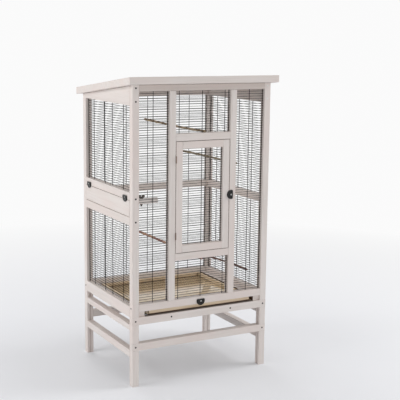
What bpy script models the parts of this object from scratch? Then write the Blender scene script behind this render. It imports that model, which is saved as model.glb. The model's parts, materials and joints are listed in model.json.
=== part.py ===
"""Wooden aviary on four legs, with a sloping roof, a door, a feeding hatch and a drawer.

Grooved posts run from the floor to the roof. Rails join them, and welded mesh stands in the
grooves of both. The frame is metres, +Z up, the front faces -Y, and the origin is on the
floor under the middle of the roof.
"""

import math

import bmesh
import bpy
from mathutils import Matrix, Vector

# Body and roof
BODY_WIDTH = 0.770
BODY_DEPTH = 0.620
POST = 0.035
HEIGHT = 1.530
ROOF_THICKNESS = 0.035
ROOF_FALL = 0.084
SIDE_OVERHANG = 0.030
FRONT_OVERHANG = 0.031
BACK_OVERHANG = 0.019

# Front frame
RAIL = 0.036
STILE = 0.035
FRONT_TOP_RAIL = 0.0308
OPENING_BOTTOM = 0.655
OPENING_HEIGHT = 0.560
OPENING_WIDTH = 0.306
FRONT_FLOOR_RAIL_BOTTOM = 0.382
SLOT_HEIGHT = 0.0275
DRAWER_RAIL = 0.038
FRONT_STRETCHER_BOTTOM = 0.185
LAP_DEPTH = 0.0175

# Sides and back; the side boards taper, and their height is given at the back
SIDE_BOARD = 0.0255
BACK_TOP_RAIL = 0.0191
UPPER_RAIL = 0.0375
LOWER_RAIL = 0.040
MID_RAIL_BOTTOM = 0.877
MID_RAIL = 0.035
FLOOR_RAIL_BOTTOM = 0.3505
FLOOR_RAIL = 0.0555
STAND_RAIL_BOTTOM = 0.285
STAND_RAIL = 0.029
SIDE_STRETCHER_BOTTOM = 0.147
BACK_STRETCHER_BOTTOM = 0.200

# Mesh and the grooves that hold it
GROOVE_WIDTH = 0.006
GROOVE_DEPTH = 0.005
ROW_PITCH = 0.0125
FIRST_ROW = 0.006
LAST_ROW = 0.004
ROW_WIRE = 0.0020
COLUMN_WIRE = 0.0030
COLUMN_PITCH = 0.128
EDGE_WIRE = 0.004
SIDE_COLUMNS = (-0.169, -0.035, 0.059, 0.199)
BACK_COLUMN_SHIFT = 0.016
WIRE_IN_GROOVE = 0.0035

# Door and its hinges
DOOR_GAP = 0.0025
DOOR_THICKNESS = 0.030
DOOR_FRAME = 0.036
HINGE_HEIGHT = 0.035
HINGE_FROM_EDGE = 0.087
HINGE_LEAF = 0.0008
HINGE_LEAF_DEPTH = 0.014
KNUCKLE_RADIUS = 0.003
PIN_RADIUS = 0.0014
KNUCKLES = 5

# Turn buttons
BUTTON_RADIUS = 0.023
BUTTON_FLAT = 0.010
BUTTON_THICKNESS = 0.006
BUTTON_EASE = 0.0012
DOOR_BUTTON_FROM_OPENING = 0.008
DOOR_BUTTON_HEIGHT = 0.9325
TRAY_BUTTON_ALONG = -0.006
TRAY_BUTTON_HEIGHT = 0.398
HATCH_BUTTON_FROM_POST = 0.048
HATCH_BUTTON_RISE = 0.010

# Drawer and its runners
RUNNER_WIDTH = 0.0375
RUNNER_RECESS = 0.012
LIP_WIDTH = 0.040
LIP_SETBACK = 0.040
TRAY_DROP = 0.0005
TRAY_STRIP = 0.018
TRAY_WALL = 0.009
TRAY_FLOOR = 0.004
TRAY_CLEARANCE = 0.0105
TRAY_CORNER = 0.012
TRAY_BACK_GAP = 0.006

# Feeding hatch
HATCH_OPENING_BOTTOM = 0.852
HATCH_OPENING_HEIGHT = 0.084
HATCH_THICKNESS = 0.010
HATCH_GAP = 0.0015
HATCH_TOP_GAP = 0.002
PEG_RADIUS = 0.0025
PEG_LENGTH = 0.012

# Feeder bar and perches
FEEDER_BAR_LENGTH = 0.111
FEEDER_BAR_RISE = 0.006
FEEDER_BAR_HEIGHT = 0.0265
FEEDER_BAR_THICKNESS = 0.016
FEEDER_BAR_INWARD = 0.021
PERCH_SIDES = 8
PERCH_RINGS = 12
PERCH_PAST_WIRE = 0.0012
PERCH_END_RADIUS = 0.0040
PERCH_KNOT = 0.0004
PERCH_KNOT_TURNS = 1.4
RIGHT_PERCH_FROM_POST = 0.0705
RIGHT_PERCH_ACROSS = BODY_WIDTH / 2 - POST - RIGHT_PERCH_FROM_POST

# Each perch: radius, taper, its bend (bow, lift, second lift), and the place across and
# up of its back end and its front end
PERCHES = {
    "top_perch": (0.0063, 0.10, (0.004, -0.003, 0.001), (-0.034, 1.268), (0.018, 1.257)),
    "middle_perch": (0.0058, 0.12, (-0.003, 0.002, 0.001), (0.150, 1.093), (0.204, 1.087)),
    "left_perch": (0.0062, -0.15, (0.004, 0.003, 0.0), (-0.100, 0.662), (0.0095, 0.612)),
    "right_perch": (
        0.0054,
        0.12,
        (0.003, 0.004, -0.002),
        (RIGHT_PERCH_ACROSS, 0.4995),
        (RIGHT_PERCH_ACROSS, 0.524),
    ),
}

# Clearances, eased edges, how far a cutter runs past a face, and the sides of round things
FIT = 0.0003
ARRIS = 0.0012
RUN_OUT = 0.005
PIN_SIDES = 12
KNUCKLE_SIDES = 16
BUTTON_STEPS = 20
CORNER_STEPS = 4

ROOF_WIDTH = BODY_WIDTH + 2 * SIDE_OVERHANG
ROOF_DEPTH = BODY_DEPTH + FRONT_OVERHANG + BACK_OVERHANG
SLOPE = ROOF_FALL / ROOF_DEPTH
ROOF_DROP = ROOF_THICKNESS * math.hypot(1, SLOPE)
BODY_CENTRE = Vector((0, (FRONT_OVERHANG - BACK_OVERHANG) / 2, 0))
FRONT_SPAN = BODY_WIDTH / 2 - POST
SIDE_SPAN = BODY_DEPTH / 2 - POST
ROOF_BOTTOM_FRONT = HEIGHT - ROOF_DROP - SLOPE * FRONT_OVERHANG
TOP_RAIL_BOTTOM = ROOF_BOTTOM_FRONT - FRONT_TOP_RAIL
SIDE_BOARD_BOTTOM = ROOF_BOTTOM_FRONT - SLOPE * (BODY_DEPTH - POST) - SIDE_BOARD
BACK_TOP_RAIL_BOTTOM = ROOF_BOTTOM_FRONT - SLOPE * BODY_DEPTH - BACK_TOP_RAIL
GROOVE_CENTRE = POST / 2
OPENING_TOP = OPENING_BOTTOM + OPENING_HEIGHT
HEADER_TOP = OPENING_TOP + RAIL
SILL_BOTTOM = OPENING_BOTTOM - RAIL
FRONT_FLOOR_TOP = FRONT_FLOOR_RAIL_BOTTOM + RAIL
FLOOR_TOP = FLOOR_RAIL_BOTTOM + FLOOR_RAIL
DRAWER_RAIL_TOP = FRONT_FLOOR_RAIL_BOTTOM - SLOT_HEIGHT
HATCH_OPENING_TOP = HATCH_OPENING_BOTTOM + HATCH_OPENING_HEIGHT
MID_RAIL_TOP = MID_RAIL_BOTTOM + MID_RAIL
TRAY_HEIGHT = TRAY_STRIP + TRAY_FLOOR
ROW_PLANE = (COLUMN_WIRE + FIT) / 2
COLUMN_PLANE = -(ROW_WIRE + FIT) / 2

# Each wall's turn about the body's centre, and how far its outer face lies from that centre
WALLS = {
    "front": (0.0, BODY_DEPTH / 2),
    "right": (math.pi / 2, BODY_WIDTH / 2),
    "back": (math.pi, BODY_DEPTH / 2),
    "left": (-math.pi / 2, BODY_WIDTH / 2),
}

MATERIALS = {
    "painted_wood": ((0.72, 0.67, 0.62, 1), 0.55, 0.0),
    "bare_wood": ((0.60, 0.46, 0.27, 1), 0.65, 0.0),
    "branch": ((0.30, 0.20, 0.12, 1), 0.75, 0.0),
    "mesh_steel": ((0.06, 0.05, 0.05, 1), 0.45, 0.8),
    "hinge_steel": ((0.10, 0.06, 0.05, 1), 0.40, 0.9),
    "button_plastic": ((0.012, 0.012, 0.014, 1), 0.20, 0.0),
}


def clear_scene():
    """Remove every object that is in the file."""
    for thing in list(bpy.data.objects):
        bpy.data.objects.remove(thing, do_unlink=True)


def material(name, kind):
    """A Principled material of one kind, for one sub-part."""
    colour, roughness, metallic = MATERIALS[kind]
    surface = bpy.data.materials.new(name)
    surface.use_nodes = True
    surface.diffuse_color = colour
    shader = surface.node_tree.nodes["Principled BSDF"]
    shader.inputs["Base Color"].default_value = colour
    shader.inputs["Roughness"].default_value = roughness
    shader.inputs["Metallic"].default_value = metallic
    return surface


def add(name, shape, kind, location, turn=0.0, parent=None):
    """Put a bmesh into the scene as an object, at a world place, under a parent if it has one."""
    bmesh.ops.recalc_face_normals(shape, faces=shape.faces)
    data = bpy.data.meshes.new(name)
    shape.to_mesh(data)
    shape.free()
    thing = bpy.data.objects.new(name, data)
    bpy.context.collection.objects.link(thing)
    data.materials.append(material(name, kind))
    thing.location = Vector(location)
    if parent is not None:
        thing.parent = parent
        thing.location -= parent.location
    thing.rotation_euler = (0, 0, turn)
    bpy.context.view_layer.update()
    return thing


def combine(thing, tool, operation):
    """Apply a Boolean of the tool to the thing, and remove the tool."""
    modifier = thing.modifiers.new("Combine", "BOOLEAN")
    modifier.operation = operation
    modifier.solver = "EXACT"
    modifier.object = tool
    seen = thing.evaluated_get(bpy.context.evaluated_depsgraph_get())
    result = bpy.data.meshes.new_from_object(seen)
    thing.modifiers.remove(modifier)
    thing.data = result
    bpy.data.objects.remove(tool, do_unlink=True)
    return thing


def draw_out(outline, axis, length):
    """A prism of an outline, drawn out along one axis and centred on it."""
    shape = bmesh.new()
    order = {"x": (2, 0, 1), "y": (0, 2, 1), "z": (0, 1, 2)}[axis]
    corners = []
    for first, second in outline:
        values = (first, second, -length / 2)
        corners.append(shape.verts.new([values[index] for index in order]))
    base = shape.faces.new(corners)
    drawn = bmesh.ops.extrude_face_region(shape, geom=[base])
    moved = [item for item in drawn["geom"] if isinstance(item, bmesh.types.BMVert)]
    step = Vector([length if index == 2 else 0 for index in order])
    bmesh.ops.translate(shape, verts=moved, vec=step)
    return shape


def rectangle(low, high):
    """Corners of a rectangle from its low and high corner."""
    return [low, (high[0], low[1]), high, (low[0], high[1])]


def box(low, high):
    """A box between two corners."""
    middle = (Vector(low) + Vector(high)) / 2
    shape = draw_out(rectangle(low[:2], high[:2]), "z", high[2] - low[2])
    bmesh.ops.translate(shape, verts=shape.verts, vec=(0, 0, middle.z))
    return shape


def section(width, height, grooves=(), shift=0.0):
    """A timber section with eased arrises and a mesh groove in the named sides."""
    half = Vector((width / 2, height / 2))
    corners = [Vector((-half.x, -half.y)), Vector((half.x, -half.y)), half, Vector((-half.x, half.y))]
    outline = []
    for index, side in enumerate(("bottom", "right", "top", "left")):
        start = corners[index]
        end = corners[(index + 1) % 4]
        along = (end - start).normalized()
        inward = Vector((-along.y, along.x))
        outline.append(start + along * ARRIS)
        if side in grooves:
            middle = (start + end) / 2 + along * shift * (1 if side in ("bottom", "right") else -1)
            outline.append(middle - along * GROOVE_WIDTH / 2)
            outline.append(middle - along * GROOVE_WIDTH / 2 + inward * GROOVE_DEPTH)
            outline.append(middle + along * GROOVE_WIDTH / 2 + inward * GROOVE_DEPTH)
            outline.append(middle + along * GROOVE_WIDTH / 2)
        outline.append(end - along * ARRIS)
    return [tuple(point) for point in outline]


def roof_underside(depth):
    """Height of the roof's underside at a world Y."""
    return HEIGHT - ROOF_DROP - SLOPE * (depth + ROOF_DEPTH / 2)


def wall_point(wall, along, inward, height):
    """World place of a point on a wall: along it, in from its outer face, and up."""
    turn, out = WALLS[wall]
    return Matrix.Rotation(turn, 3, "Z") @ Vector((along, inward - out, height)) + BODY_CENTRE


def cut_to_roof(shape, location, turn):
    """Raise or lower the top corners of a shape to just under the sloping roof."""
    top = max(corner.co.z for corner in shape.verts)
    turning = Matrix.Rotation(turn, 3, "Z")
    for corner in shape.verts:
        if corner.co.z > top - 2 * ARRIS:
            depth = (turning @ corner.co + location).y
            drop = top - corner.co.z
            corner.co.z = roof_underside(depth) - FIT - drop - location.z


def rail(name, wall, start, end, bottom, height, grooves=(), under_roof=False):
    """A rail on a wall between two places along it, its outer face flush with the posts."""
    shape = draw_out(section(POST, height, grooves), "x", end - start - 2 * FIT)
    location = wall_point(wall, (start + end) / 2, POST / 2, bottom + height / 2)
    turn = WALLS[wall][0]
    if under_roof:
        cut_to_roof(shape, location, turn)
    return add(name, shape, "painted_wood", location, turn)


def build_posts():
    """Four grooved posts, the front pair notched for the lapped rails."""
    length = HEIGHT - ROOF_DROP
    for depth_name, depth_sign in (("front", -1), ("back", 1)):
        for side_name, side_sign in (("left", -1), ("right", 1)):
            inner = ("right" if side_sign < 0 else "left", "top" if depth_sign < 0 else "bottom")
            shape = draw_out(section(POST, POST, inner), "z", length)
            across = side_sign * (BODY_WIDTH - POST) / 2
            deep = depth_sign * (BODY_DEPTH - POST) / 2
            location = BODY_CENTRE + Vector((across, deep, length / 2))
            raise_post_top(shape, location)
            post = add(f"{depth_name}_{side_name}_post", shape, "painted_wood", location)
            if depth_sign < 0:
                notch_post(post, across)
            if side_sign < 0:
                bore_post(post, depth_sign)


def raise_post_top(shape, location):
    """Cut a post's top to the slope of the roof."""
    for corner in shape.verts:
        if corner.co.z > 0:
            corner.co.z = roof_underside(corner.co.y + location.y) - FIT - location.z


def notch_post(post, across):
    """Cut the notches that the drawer rail and the front stretcher lap into."""
    face = wall_point("front", across, 0, 0)
    half = POST / 2 + FIT
    for bottom, height in lapped_rails().values():
        low = (face.x - half, face.y - FIT, bottom - FIT)
        high = (face.x + half, face.y + LAP_DEPTH, bottom + height + FIT)
        cutter = add("notch", box(low, high), "painted_wood", (0, 0, 0))
        combine(post, cutter, "DIFFERENCE")


def bore_post(post, depth_sign):
    """Drill the hole that one of the hatch's pegs turns in."""
    axis = hatch_axis()
    face = BODY_CENTRE.y + depth_sign * SIDE_SPAN
    depth = PEG_LENGTH + HATCH_GAP
    drill = draw_out(circle(PEG_RADIUS + FIT, PIN_SIDES), "y", 2 * depth)
    cutter = add("drill", drill, "painted_wood", (axis.x, face, axis.z))
    combine(post, cutter, "DIFFERENCE")


def arc(centre, radius, start, sweep, steps):
    """Corners along an arc with its two ends, from a start angle over a sweep in degrees."""
    corners = []
    for step in range(steps + 1):
        angle = math.radians(start + sweep * step / steps)
        corners.append((centre[0] + radius * math.cos(angle), centre[1] + radius * math.sin(angle)))
    return corners


def circle(radius, sides):
    """Corners of a regular polygon round the origin."""
    return arc((0, 0), radius, 0, 360, sides)[:-1]


def lapped_rails():
    """Bottom and height of the two front rails that lap over the posts."""
    return {
        "front_drawer_rail": (DRAWER_RAIL_TOP - DRAWER_RAIL, DRAWER_RAIL),
        "front_stretcher": (FRONT_STRETCHER_BOTTOM, RAIL),
    }


def build_lapped_rails():
    """The drawer rail and the stretcher, thinned at both ends to lap into the posts."""
    half = BODY_WIDTH / 2
    inner = FRONT_SPAN - FIT
    lap = LAP_DEPTH - FIT
    outline = [(-half, 0), (half, 0), (half, lap), (inner, lap), (inner, POST)]
    outline += [(-inner, POST), (-inner, lap), (-half, lap)]
    for name, (bottom, height) in lapped_rails().items():
        shape = draw_out(outline, "z", height)
        add(name, shape, "painted_wood", wall_point("front", 0, 0, bottom + height / 2))


def build_front():
    """Rails and stiles of the front, from the roof down to the floor rail."""
    span = FRONT_SPAN
    half = OPENING_WIDTH / 2
    rise = HEIGHT - ROOF_DROP - TOP_RAIL_BOTTOM
    rail("front_top_rail", "front", -span, span, TOP_RAIL_BOTTOM, rise, ("bottom",), True)
    rail("front_header_rail", "front", -half, half, OPENING_TOP, RAIL, ("top",))
    rail("front_sill_rail", "front", -half, half, SILL_BOTTOM, RAIL, ("bottom",))
    rail("front_floor_rail", "front", -span, span, FRONT_FLOOR_RAIL_BOTTOM, RAIL, ("top",))
    length = TOP_RAIL_BOTTOM - FRONT_FLOOR_TOP
    for name, sign in (("left", -1), ("right", 1)):
        shape = draw_out(section(STILE, POST, ("left", "right")), "z", length - 2 * FIT)
        location = wall_point("front", sign * (half + STILE / 2), POST / 2, FRONT_FLOOR_TOP + length / 2)
        add(f"front_{name}_stile", shape, "painted_wood", location)
    build_lapped_rails()


def build_sides():
    """Boards and rails of the left and right walls."""
    span = SIDE_SPAN
    rise = roof_underside(BODY_CENTRE.y) - SIDE_BOARD_BOTTOM
    for wall in ("left", "right"):
        rail(f"{wall}_top_board", wall, -span, span, SIDE_BOARD_BOTTOM, rise, ("bottom",), True)
        rail(f"{wall}_floor_rail", wall, -span, span, FLOOR_RAIL_BOTTOM, FLOOR_RAIL, ("top",))
        rail(f"{wall}_stand_rail", wall, -span, span, STAND_RAIL_BOTTOM, STAND_RAIL)
        rail(f"{wall}_stretcher", wall, -span, span, SIDE_STRETCHER_BOTTOM, RAIL)
    rail("left_upper_mid_rail", "left", -span, span, HATCH_OPENING_TOP, UPPER_RAIL, ("top",))
    low = HATCH_OPENING_BOTTOM - LOWER_RAIL
    rail("left_lower_mid_rail", "left", -span, span, low, LOWER_RAIL, ("bottom",))
    rail("right_mid_rail", "right", -span, span, MID_RAIL_BOTTOM, MID_RAIL, ("top", "bottom"))


def build_back():
    """Rails of the back wall."""
    span = FRONT_SPAN
    rise = roof_underside(BODY_CENTRE.y + BODY_DEPTH / 2) - BACK_TOP_RAIL_BOTTOM
    rail("back_top_rail", "back", -span, span, BACK_TOP_RAIL_BOTTOM, rise, ("bottom",), True)
    rail("back_mid_rail", "back", -span, span, MID_RAIL_BOTTOM, MID_RAIL, ("top", "bottom"))
    rail("back_floor_rail", "back", -span, span, FLOOR_RAIL_BOTTOM, FLOOR_RAIL, ("top",))
    rail("back_stretcher", "back", -span, span, BACK_STRETCHER_BOTTOM, RAIL)


def build_roof():
    """One sloping panel with plumb edges."""
    half = ROOF_DEPTH / 2
    outline = [(-half, -ROOF_DROP), (half, -ROOF_FALL - ROOF_DROP), (half, -ROOF_FALL), (-half, 0)]
    roof = add("roof_panel", draw_out(outline, "x", ROOF_WIDTH), "painted_wood", (0, 0, HEIGHT))
    ease = roof.modifiers.new("Eased edges", "BEVEL")
    ease.width = ARRIS
    ease.segments = 1


def row_heights(height):
    """Heights of a mesh panel's level wires above the bottom of its opening."""
    count = int((height - FIRST_ROW - LAST_ROW) / ROW_PITCH) + 1
    return [FIRST_ROW + ROW_PITCH * index for index in range(count)]


def rows_outline(half, rows, foot):
    """A comb: level wires, welded to one upright that stands in the groove at their end."""
    end = half + WIRE_IN_GROOVE
    inner = end - ROW_WIRE
    outline = [(inner, foot)]
    for row in rows:
        outline += [(inner, row - ROW_WIRE / 2), (-end, row - ROW_WIRE / 2)]
        outline += [(-end, row + ROW_WIRE / 2), (inner, row + ROW_WIRE / 2)]
    outline.pop()
    outline += [(end, rows[-1] + ROW_WIRE / 2), (end, foot)]
    return outline


def mesh_panel(name, wall, left, right, bottom, top, columns, inward=GROOVE_CENTRE, parent=None):
    """Welded mesh in an opening: level wires inside, uprights outside, and a wire in the sill groove.

    Uprights cross the level wires with a small gap. They are welded to the lowest wire, which
    lies in the groove below.
    """
    half = (right - left) / 2
    height = top - bottom
    foot = FIT - GROOVE_DEPTH
    location = wall_point(wall, (left + right) / 2, inward, bottom)
    turn = WALLS[wall][0]
    shape = draw_out(rows_outline(half, row_heights(height), foot + ROW_WIRE / 2), "y", ROW_WIRE)
    bmesh.ops.translate(shape, verts=shape.verts, vec=(0, ROW_PLANE, 0))
    panel = add(name, shape, "mesh_steel", location, turn, parent)
    reach = half + WIRE_IN_GROOVE - ROW_WIRE / 4
    thick = (ROW_WIRE + COLUMN_WIRE) / 2 + FIT
    bar = box((-reach, -thick, foot), (reach, thick, foot + ROW_WIRE))
    combine(panel, add("bar", bar, "mesh_steel", location, turn, None), "UNION")
    uprights = bmesh.new()
    for column in [EDGE_WIRE - half, *columns, half - EDGE_WIRE]:
        add_upright(uprights, column, foot + ROW_WIRE / 2, height + WIRE_IN_GROOVE)
    combine(panel, add("uprights", uprights, "mesh_steel", location, turn, None), "UNION")
    return panel


def add_upright(shape, column, low, high):
    """Add one upright wire to a bmesh."""
    wire = bmesh.ops.create_cube(shape, size=1.0)["verts"]
    bmesh.ops.scale(shape, verts=wire, vec=(COLUMN_WIRE, COLUMN_WIRE, high - low))
    bmesh.ops.translate(shape, verts=wire, vec=(column, COLUMN_PLANE, (low + high) / 2))


def build_meshes():
    """Every mesh panel of the walls."""
    door = OPENING_WIDTH / 2
    stile = door + STILE
    top = TOP_RAIL_BOTTOM
    mesh_panel("front_left_mesh", "front", -FRONT_SPAN, -stile, FRONT_FLOOR_TOP, top, [0])
    mesh_panel("front_right_mesh", "front", stile, FRONT_SPAN, FRONT_FLOOR_TOP, top, [0])
    inner = [-COLUMN_PITCH, 0, COLUMN_PITCH]
    mesh_panel("front_upper_mesh", "front", -door, door, HEADER_TOP, top, inner)
    mesh_panel("front_lower_mesh", "front", -door, door, FRONT_FLOOR_TOP, SILL_BOTTOM, inner)
    sides = (-SIDE_SPAN, SIDE_SPAN)
    left = [-place for place in SIDE_COLUMNS]
    low = HATCH_OPENING_BOTTOM - LOWER_RAIL
    high = HATCH_OPENING_TOP + UPPER_RAIL
    mesh_panel("left_upper_mesh", "left", *sides, high, SIDE_BOARD_BOTTOM, left)
    mesh_panel("left_lower_mesh", "left", *sides, FLOOR_TOP, low, left)
    right = list(SIDE_COLUMNS)
    mesh_panel("right_upper_mesh", "right", *sides, MID_RAIL_TOP, SIDE_BOARD_BOTTOM, right)
    mesh_panel("right_lower_mesh", "right", *sides, FLOOR_TOP, MID_RAIL_BOTTOM, right)
    across = (-FRONT_SPAN, FRONT_SPAN)
    back = [COLUMN_PITCH * index + BACK_COLUMN_SHIFT for index in range(-2, 3)]
    mesh_panel("back_upper_mesh", "back", *across, MID_RAIL_TOP, BACK_TOP_RAIL_BOTTOM, back)
    mesh_panel("back_lower_mesh", "back", *across, FLOOR_TOP, MID_RAIL_BOTTOM, back)


def door_axis():
    """World place of the door's hinge axis, on the floor."""
    inward = -KNUCKLE_RADIUS - FIT
    return wall_point("front", DOOR_GAP / 2 - OPENING_WIDTH / 2, inward, 0)


def build_door():
    """Door leaf: two stiles, two rails and a mesh panel, hung from its left edge."""
    half = OPENING_WIDTH / 2 - DOOR_GAP
    low = OPENING_BOTTOM + DOOR_GAP
    height = OPENING_HEIGHT - 2 * DOOR_GAP
    shift = GROOVE_CENTRE - DOOR_THICKNESS / 2
    axis = door_axis()
    middle = wall_point("front", 0, DOOR_THICKNESS / 2, low + height / 2)
    hanging = draw_out(section(DOOR_FRAME, DOOR_THICKNESS, ("right",), shift), "z", height)
    offset = middle - axis - Vector((half - DOOR_FRAME / 2, 0, 0))
    bmesh.ops.translate(hanging, verts=hanging.verts, vec=offset)
    hinged = add("door_left_stile", hanging, "painted_wood", axis)
    closing = draw_out(section(DOOR_FRAME, DOOR_THICKNESS, ("left",), shift), "z", height)
    place = middle + Vector((half - DOOR_FRAME / 2, 0, 0))
    add("door_right_stile", closing, "painted_wood", place, parent=hinged)
    length = 2 * (half - DOOR_FRAME)
    for name, side, sign in (("top", "bottom", 1), ("bottom", "top", -1)):
        shape = draw_out(section(DOOR_THICKNESS, DOOR_FRAME, (side,), shift), "x", length - 2 * FIT)
        place = middle + Vector((0, 0, sign * (height - DOOR_FRAME) / 2))
        add(f"door_{name}_rail", shape, "painted_wood", place, parent=hinged)
    left = DOOR_FRAME - half
    bottom = low + DOOR_FRAME
    top = low + height - DOOR_FRAME
    mesh_panel("door_mesh", "front", left, -left, bottom, top, [0], GROOVE_CENTRE, hinged)
    for name, place in (("lower", low + HINGE_FROM_EDGE), ("upper", low + height - HINGE_FROM_EDGE)):
        build_hinge(name, place, hinged)


def knuckle_spans(owner):
    """Low and high ends of one leaf's knuckles, from the middle of the hinge."""
    pitch = (HINGE_HEIGHT + FIT) / KNUCKLES
    spans = []
    for index in range(owner, KNUCKLES, 2):
        low = index * pitch - HINGE_HEIGHT / 2
        spans.append((low, low + pitch - FIT))
    return spans


def build_hinge(name, height, door):
    """A butt hinge: one leaf with the pin on the frame, the other on the door's edge."""
    place = door_axis() + Vector((0, 0, height))
    inset = DOOR_GAP / 2 - FIT
    start = KNUCKLE_RADIUS + FIT
    end = start + HINGE_LEAF_DEPTH
    for leaf, sign, owner, parent in (("frame", -1, 0, None), ("door", 1, 1, door)):
        sides = sorted((sign * inset, sign * (inset - HINGE_LEAF)))
        half = HINGE_HEIGHT / 2
        plate = box((sides[0], start, -half), (sides[1], end, half))
        hinge = add(f"{name}_hinge_{leaf}_leaf", plate, "hinge_steel", place, parent=parent)
        for low, high in knuckle_spans(owner):
            tab = box((sides[0], 0, low), (sides[1], start + HINGE_LEAF, high))
            combine(hinge, add("tab", tab, "hinge_steel", place), "UNION")
            barrel = draw_out(circle(KNUCKLE_RADIUS, KNUCKLE_SIDES), "z", high - low)
            centre = place + Vector((0, 0, (low + high) / 2))
            combine(hinge, add("barrel", barrel, "hinge_steel", centre), "UNION")
        if leaf == "frame":
            pin = draw_out(circle(PIN_RADIUS, PIN_SIDES), "z", HINGE_HEIGHT - FIT)
            combine(hinge, add("pin", pin, "hinge_steel", place), "UNION")
        else:
            bore = draw_out(circle(PIN_RADIUS + FIT, PIN_SIDES), "z", HINGE_HEIGHT + FIT)
            combine(hinge, add("bore", bore, "hinge_steel", place), "DIFFERENCE")


def button_outline():
    """A disc cut off by a straight edge above its pivot."""
    start = math.degrees(math.asin(BUTTON_FLAT / BUTTON_RADIUS))
    return arc((0, 0), BUTTON_RADIUS, start, -180 - 2 * start, BUTTON_STEPS)


def build_button(name, wall, along, height, roll=0.0):
    """A turn button on a wall's outer face, its origin on its screw."""
    outline = [Matrix.Rotation(roll, 2) @ Vector(point) for point in button_outline()]
    shape = draw_out([tuple(point) for point in outline], "y", BUTTON_THICKNESS)
    location = wall_point(wall, along, -FIT - BUTTON_THICKNESS / 2, height)
    button = add(name, shape, "button_plastic", location, WALLS[wall][0])
    ease = button.modifiers.new("Eased edges", "BEVEL")
    ease.width = BUTTON_EASE
    ease.segments = 2
    ease.limit_method = "ANGLE"


def build_buttons():
    """Four turn buttons: one for the door, one for the drawer and two for the hatch."""
    along = OPENING_WIDTH / 2 + DOOR_BUTTON_FROM_OPENING
    build_button("door_button", "front", along, DOOR_BUTTON_HEIGHT, math.radians(-90))
    build_button("tray_button", "front", TRAY_BUTTON_ALONG, TRAY_BUTTON_HEIGHT)
    along = SIDE_SPAN - HATCH_BUTTON_FROM_POST
    height = HATCH_OPENING_TOP + HATCH_BUTTON_RISE
    build_button("hatch_button_front", "left", along, height)
    build_button("hatch_button_back", "left", -along, height)


def tray_bottom():
    """Height of the drawer's underside."""
    return FRONT_FLOOR_RAIL_BOTTOM - TRAY_DROP - TRAY_HEIGHT


def build_runners():
    """Two battens inside the side floor rails, each with a lip that the drawer slides on."""
    low = DRAWER_RAIL_TOP + FIT
    high = FRONT_FLOOR_RAIL_BOTTOM - FIT
    front = wall_point("front", 0, RUNNER_RECESS, 0).y
    back = wall_point("back", 0, POST, 0).y - FIT
    lip_top = tray_bottom() - FIT
    outer = FRONT_SPAN - FIT
    inner = FRONT_SPAN - RUNNER_WIDTH
    for name, sign in (("left", -1), ("right", 1)):
        outline = [(sign * outer, low), (sign * (inner - LIP_WIDTH), low)]
        outline += [(sign * (inner - LIP_WIDTH), lip_top), (sign * inner, lip_top)]
        outline += [(sign * inner, high), (sign * outer, high)]
        shape = draw_out(outline, "y", back - front)
        runner = add(f"tray_{name}_runner", shape, "painted_wood", (0, (front + back) / 2, 0))
        ends = sorted((sign * inner, sign * (inner - LIP_WIDTH - FIT)))
        cut = box((ends[0], front - FIT, low - FIT), (ends[1], front + LIP_SETBACK, high + FIT))
        combine(runner, add("lip_cut", cut, "painted_wood", (0, 0, 0)), "DIFFERENCE")


def build_tray():
    """A shallow drawer, open at the top: wooden strips round a thin board, with rounded lower corners."""
    half = FRONT_SPAN - RUNNER_WIDTH - TRAY_CLEARANCE
    front = wall_point("front", 0, RUNNER_RECESS, 0).y
    back = wall_point("back", 0, POST, 0).y - TRAY_BACK_GAP
    low = tray_bottom()
    inner = half - TRAY_CORNER
    outline = [(half, TRAY_HEIGHT), (-half, TRAY_HEIGHT)]
    outline += arc((-inner, TRAY_CORNER), TRAY_CORNER, 180, 90, CORNER_STEPS)
    outline += arc((inner, TRAY_CORNER), TRAY_CORNER, 270, 90, CORNER_STEPS)
    shape = draw_out(outline, "y", back - front)
    tray = add("tray", shape, "bare_wood", (0, (front + back) / 2, low))
    corner = (-inner, front + TRAY_WALL, low + TRAY_FLOOR)
    hollow = box(corner, (inner, back - TRAY_WALL, low + TRAY_HEIGHT + FIT))
    combine(tray, add("hollow", hollow, "bare_wood", (0, 0, 0)), "DIFFERENCE")


def hatch_axis():
    """World place of the axis that the hatch tilts about."""
    half = HATCH_THICKNESS / 2
    return wall_point("left", 0, half, HATCH_OPENING_BOTTOM + HATCH_GAP + half)


def build_hatch():
    """Feeding hatch: a board with a rounded bottom edge that turns on a peg at each end."""
    half = HATCH_THICKNESS / 2
    top = HATCH_OPENING_HEIGHT - HATCH_GAP - HATCH_TOP_GAP - half
    outline = [(half, top), (-half, top), *arc((0, 0), half, 180, 180, 2 * CORNER_STEPS)]
    length = 2 * (SIDE_SPAN - HATCH_GAP)
    axis = hatch_axis()
    hatch = add("hatch_board", draw_out(outline, "y", length), "painted_wood", axis)
    pegs = draw_out(circle(PEG_RADIUS, PIN_SIDES), "y", length + 2 * PEG_LENGTH)
    combine(hatch, add("pegs", pegs, "painted_wood", axis), "UNION")


def build_feeder_bar():
    """A short bar behind the left mesh, held by the front left post."""
    shape = draw_out(section(FEEDER_BAR_THICKNESS, FEEDER_BAR_HEIGHT), "x", FEEDER_BAR_LENGTH)
    along = FIT - FRONT_SPAN + FEEDER_BAR_LENGTH / 2
    inward = FEEDER_BAR_INWARD + FEEDER_BAR_THICKNESS / 2
    height = HATCH_OPENING_TOP + FEEDER_BAR_RISE - FEEDER_BAR_HEIGHT / 2
    add("feeder_bar", shape, "painted_wood", wall_point("front", along, inward, height))


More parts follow.
